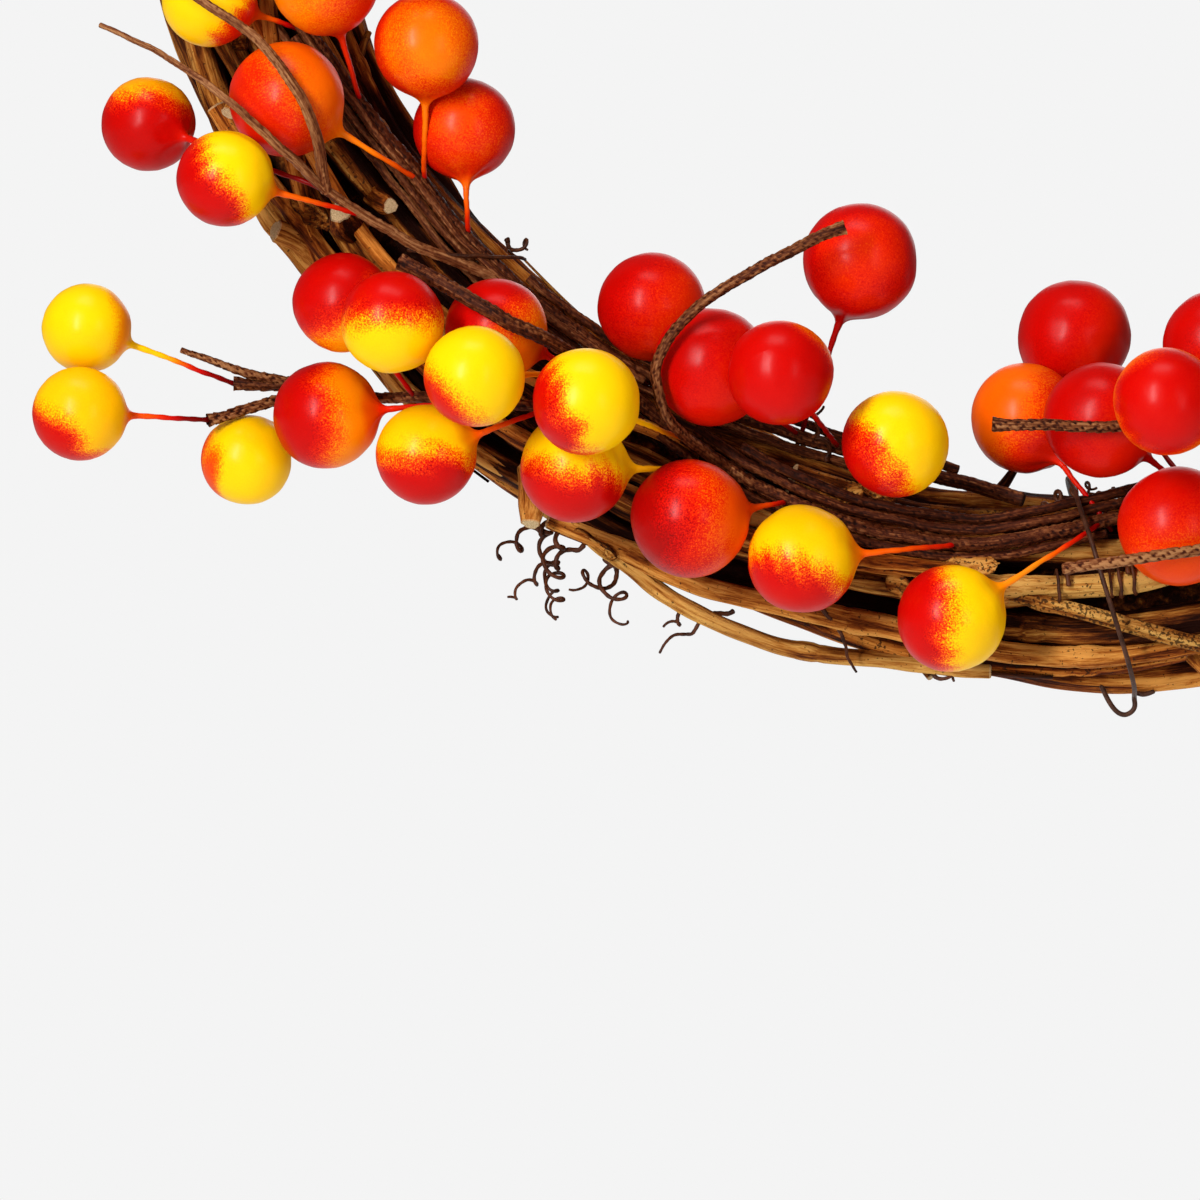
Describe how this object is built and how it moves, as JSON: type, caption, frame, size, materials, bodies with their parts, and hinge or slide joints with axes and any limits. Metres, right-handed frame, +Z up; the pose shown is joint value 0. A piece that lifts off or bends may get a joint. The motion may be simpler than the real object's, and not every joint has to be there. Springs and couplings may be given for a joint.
{
  "type": "berry door wreath",
  "caption": "Round door wreath of wound vines with sprays of artificial berries on bendable wired stems, hung by a wire eye that lets the ring swing.",
  "frame": {"origin": "where the door's hook bears: the top of the inside of the hanger's eye", "axes": "front towards -Y, so the door is on the +Y side; +Z up; +X to the right as seen from the front"},
  "size_m": [0.4964, 0.0992, 0.5006],
  "materials": {
    "vine_bark": "rough bark",
    "inner_vine": "rough bark",
    "wrapped_stem": "paper wrapped",
    "berry_wire": "satin paint",
    "berry_skin": "glossy, sprayed from red to yellow",
    "tendril": "dry",
    "binding_wire": "dark annealed wire"
  },
  "bodies": {
    "hanger": {"hanger": "binding_wire"},
    "wreath": {"binding_wires": "binding_wire", "core_vines": "inner_vine", "curled_tendrils": "tendril", "inner_spray_1_berries": "berry_skin", "inner_spray_1_stem": "wrapped_stem", "inner_spray_1_wires": "berry_wire", "inner_spray_2_berries": "berry_skin", "inner_spray_2_stem": "wrapped_stem", "inner_spray_2_wires": "berry_wire", "inner_spray_3_berries": "berry_skin", "inner_spray_3_stem": "wrapped_stem", "inner_spray_3_wires": "berry_wire", "inner_spray_4_berries": "berry_skin", "inner_spray_4_stem": "wrapped_stem", "inner_spray_4_wires": "berry_wire", "looped_tendrils": "tendril", "outer_spray_1_berries": "berry_skin", "outer_spray_1_stem": "wrapped_stem", "outer_spray_1_wires": "berry_wire", "outer_spray_2_berries": "berry_skin", "outer_spray_2_stem": "wrapped_stem", "outer_spray_2_wires": "berry_wire", "outer_spray_3_berries": "berry_skin", "outer_spray_3_stem": "wrapped_stem", "outer_spray_3_wires": "berry_wire", "outer_spray_4_berries": "berry_skin", "outer_spray_4_stem": "wrapped_stem", "outer_spray_4_wires": "berry_wire", "tangled_tendrils": "tendril", "vine_01": "vine_bark", "vine_02": "vine_bark", "vine_03": "vine_bark", "vine_04": "vine_bark", "vine_05": "vine_bark", "vine_06": "vine_bark", "vine_07": "vine_bark", "vine_08": "vine_bark", "vine_09": "vine_bark", "vine_10": "vine_bark", "vine_11": "vine_bark", "vine_12": "vine_bark"},
    "spray_tip_1": {"outer_spray_1_tip_twig": "wrapped_stem", "outer_spray_1_tip_wires": "berry_wire", "outer_spray_1_tip_berries": "berry_skin"},
    "free_twig_1": {"outer_spray_1_free_twig": "wrapped_stem"},
    "spray_tip_2": {"outer_spray_2_tip_twig": "wrapped_stem", "outer_spray_2_tip_wires": "berry_wire", "outer_spray_2_tip_berries": "berry_skin"},
    "free_twig_2": {"outer_spray_2_free_twig": "wrapped_stem"},
    "spray_tip_3": {"outer_spray_3_tip_twig": "wrapped_stem", "outer_spray_3_tip_wires": "berry_wire", "outer_spray_3_tip_berries": "berry_skin"},
    "free_twig_3": {"outer_spray_3_free_twig": "wrapped_stem"},
    "spray_tip_4": {"outer_spray_4_tip_twig": "wrapped_stem", "outer_spray_4_tip_wires": "berry_wire", "outer_spray_4_tip_berries": "berry_skin"},
    "free_twig_4": {"outer_spray_4_free_twig": "wrapped_stem"}
  },
  "joints": [
    {"name": "ring_swing", "type": "hinge", "parent": "hanger", "child": "wreath", "pos_m": [0, -0.025, -0.0448], "axis": [1, 0, 0], "range_deg": [-35, 0]},
    {"name": "tip_bend_1", "type": "hinge", "parent": "wreath", "child": "spray_tip_1", "pos_m": [-0.17613, -0.034, -0.40938], "axis": [0.09, 0, 0.9959], "range_deg": [-20, 5]},
    {"name": "twig_bend_1", "type": "hinge", "parent": "wreath", "child": "free_twig_1", "pos_m": [-0.10126, -0.073, -0.41098], "axis": [0.9862, 0, 0.1657], "range_deg": [0, 30]},
    {"name": "tip_bend_2", "type": "hinge", "parent": "wreath", "child": "spray_tip_2", "pos_m": [-0.15858, -0.034, -0.07468], "axis": [0.9959, 0, -0.09], "range_deg": [-20, 5]},
    {"name": "twig_bend_2", "type": "hinge", "parent": "wreath", "child": "free_twig_2", "pos_m": [-0.16018, -0.073, -0.14954], "axis": [0.1657, 0, -0.9862], "range_deg": [0, 30]},
    {"name": "tip_bend_3", "type": "hinge", "parent": "wreath", "child": "spray_tip_3", "pos_m": [0.17613, -0.034, -0.09222], "axis": [-0.09, 0, -0.9959], "range_deg": [-20, 5]},
    {"name": "twig_bend_3", "type": "hinge", "parent": "wreath", "child": "free_twig_3", "pos_m": [0.10126, -0.073, -0.09062], "axis": [-0.9862, 0, -0.1657], "range_deg": [0, 30]},
    {"name": "tip_bend_4", "type": "hinge", "parent": "wreath", "child": "spray_tip_4", "pos_m": [0.15858, -0.034, -0.42692], "axis": [-0.9959, 0, 0.09], "range_deg": [-20, 5]},
    {"name": "twig_bend_4", "type": "hinge", "parent": "wreath", "child": "free_twig_4", "pos_m": [0.16018, -0.073, -0.35206], "axis": [-0.1657, 0, 0.9862], "range_deg": [0, 30]}
  ]
}
